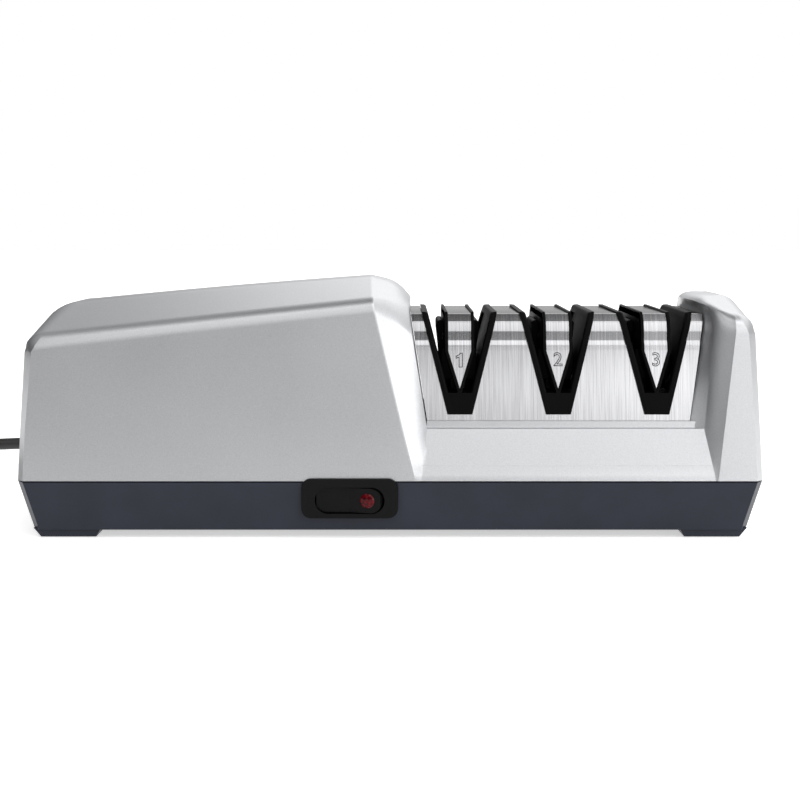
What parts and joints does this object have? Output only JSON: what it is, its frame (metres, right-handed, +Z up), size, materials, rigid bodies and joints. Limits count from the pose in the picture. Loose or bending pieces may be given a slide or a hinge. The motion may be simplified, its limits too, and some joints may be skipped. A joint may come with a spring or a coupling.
{
  "type": "electric knife sharpener",
  "caption": "Bench-top electric knife sharpener with V-shaped sharpening slots in a brushed steel cover, spring-loaded grinding discs on a motor-driven spindle and a lit rocker switch.",
  "frame": {"origin": "on the table under the middle of the body, measured without the mains lead", "axes": "+X runs along the body to the sharpening end, -Y is the side with the switch, +Z is up"},
  "size_m": [0.4728, 0.1856, 0.1051],
  "materials": {
    "housing_plastic": "satin silver-grey moulded plastic",
    "base_plastic": "dark slate-grey moulded plastic",
    "cover_steel": "brushed stainless steel",
    "guide_plastic": "black moulded plastic",
    "switch_plastic": "black-grey moulded plastic",
    "lens_plastic": "clear red plastic",
    "foot_rubber": "soft black rubber",
    "disc_abrasive": "steel with a diamond abrasive coat",
    "machine_steel": "turned steel",
    "spring_steel": "bright spring wire",
    "screw_steel": "zinc-plated steel",
    "bush_bronze": "sintered bronze",
    "inner_plastic": "grey moulded plastic",
    "fan_plastic": "off-white moulded plastic",
    "terminal_plastic": "white moulded plastic",
    "motor_iron": "stacked electrical steel sheets",
    "coil_copper": "enamelled copper wire",
    "bracket_alloy": "cast alloy",
    "coupling_rubber": "hard black rubber",
    "contact_brass": "brass",
    "wire_plastic": "insulated wire",
    "cord_rubber": "black flexible sheath",
    "plug_plastic": "black moulded plastic",
    "pin_nickel": "nickel-plated brass"
  },
  "bodies": {
    "body": {"base_tray": "base_plastic", "rubber_feet": "foot_rubber", "upper_housing": "housing_plastic", "steel_cover": "cover_steel", "stage_1_cap": "cover_steel", "stage_1_guide": "guide_plastic", "stage_1_core": "guide_plastic", "stage_1_fingers": "guide_plastic", "stage_2_cap": "cover_steel", "stage_2_guide": "guide_plastic", "stage_2_core": "guide_plastic", "stage_2_fingers": "guide_plastic", "stage_3_cap": "cover_steel", "stage_3_guide": "guide_plastic", "stage_3_core": "guide_plastic", "stage_3_fingers": "guide_plastic", "shaft_bushes": "bush_bronze", "shaft_cradle": "inner_plastic", "motor_core": "motor_iron", "motor_coil": "coil_copper", "motor_brackets": "bracket_alloy", "motor_bushes": "bush_bronze", "motor_mount": "bracket_alloy", "motor_screws": "screw_steel", "mount_screws": "screw_steel", "cradle_screws": "screw_steel", "housing_screws": "screw_steel", "switch_body": "switch_plastic", "switch_terminals": "contact_brass", "strain_relief": "cord_rubber", "cord_inner": "cord_rubber", "cord_clamp": "inner_plastic", "clamp_screws": "screw_steel", "terminal_block": "terminal_plastic", "inner_wires": "wire_plastic", "cord_lead": "cord_rubber", "cord_coil": "cord_rubber", "cord_tail": "cord_rubber", "cord_tie": "plug_plastic", "plug_body": "plug_plastic", "plug_pins": "pin_nickel"},
    "rocker": {"rocker": "switch_plastic", "lamp_lens": "lens_plastic"},
    "spindle": {"rotor": "motor_iron", "motor_shaft": "machine_steel", "cooling_fan": "fan_plastic", "shaft_coupling": "coupling_rubber", "drive_shaft": "machine_steel", "disc_pins": "machine_steel", "stop_collars": "machine_steel", "stage_1_disc_spring": "spring_steel", "stage_2_disc_spring": "spring_steel", "stage_3_disc_spring": "spring_steel"},
    "disc_1_left": {"stage_1_disc_left": "disc_abrasive"},
    "disc_1_right": {"stage_1_disc_right": "disc_abrasive"},
    "disc_2_left": {"stage_2_disc_left": "disc_abrasive"},
    "disc_2_right": {"stage_2_disc_right": "disc_abrasive"},
    "disc_3_left": {"stage_3_disc_left": "disc_abrasive"},
    "disc_3_right": {"stage_3_disc_right": "disc_abrasive"}
  },
  "joints": [
    {"name": "rocker_tip", "type": "hinge", "parent": "body", "child": "rocker", "pos_m": [-0.0163, -0.0468, 0.0164], "axis": [0, 0, 1], "range_deg": [0, 14]},
    {"name": "spindle_spin", "type": "hinge", "parent": "body", "child": "spindle", "pos_m": [0, 0, 0.046], "axis": [1, 0, 0], "continuous": true},
    {"name": "disc_1_left_slide", "type": "slide", "parent": "spindle", "child": "disc_1_left", "axis": [1, 0, 0], "range_m": [0, 0.0012], "stiffness_N_per_m": 400, "springref_m": -0.005, "deforming": ["stage_1_disc_spring"]},
    {"name": "disc_1_right_slide", "type": "slide", "parent": "spindle", "child": "disc_1_right", "axis": [-1, 0, 0], "range_m": [0, 0.0012], "stiffness_N_per_m": 400, "springref_m": -0.005, "deforming": ["stage_1_disc_spring"]},
    {"name": "disc_2_left_slide", "type": "slide", "parent": "spindle", "child": "disc_2_left", "axis": [1, 0, 0], "range_m": [0, 0.0012], "stiffness_N_per_m": 400, "springref_m": -0.005, "deforming": ["stage_2_disc_spring"]},
    {"name": "disc_2_right_slide", "type": "slide", "parent": "spindle", "child": "disc_2_right", "axis": [-1, 0, 0], "range_m": [0, 0.0012], "stiffness_N_per_m": 400, "springref_m": -0.005, "deforming": ["stage_2_disc_spring"]},
    {"name": "disc_3_left_slide", "type": "slide", "parent": "spindle", "child": "disc_3_left", "axis": [1, 0, 0], "range_m": [0, 0.0012], "stiffness_N_per_m": 400, "springref_m": -0.005, "deforming": ["stage_3_disc_spring"]},
    {"name": "disc_3_right_slide", "type": "slide", "parent": "spindle", "child": "disc_3_right", "axis": [-1, 0, 0], "range_m": [0, 0.0012], "stiffness_N_per_m": 400, "springref_m": -0.005, "deforming": ["stage_3_disc_spring"]}
  ]
}
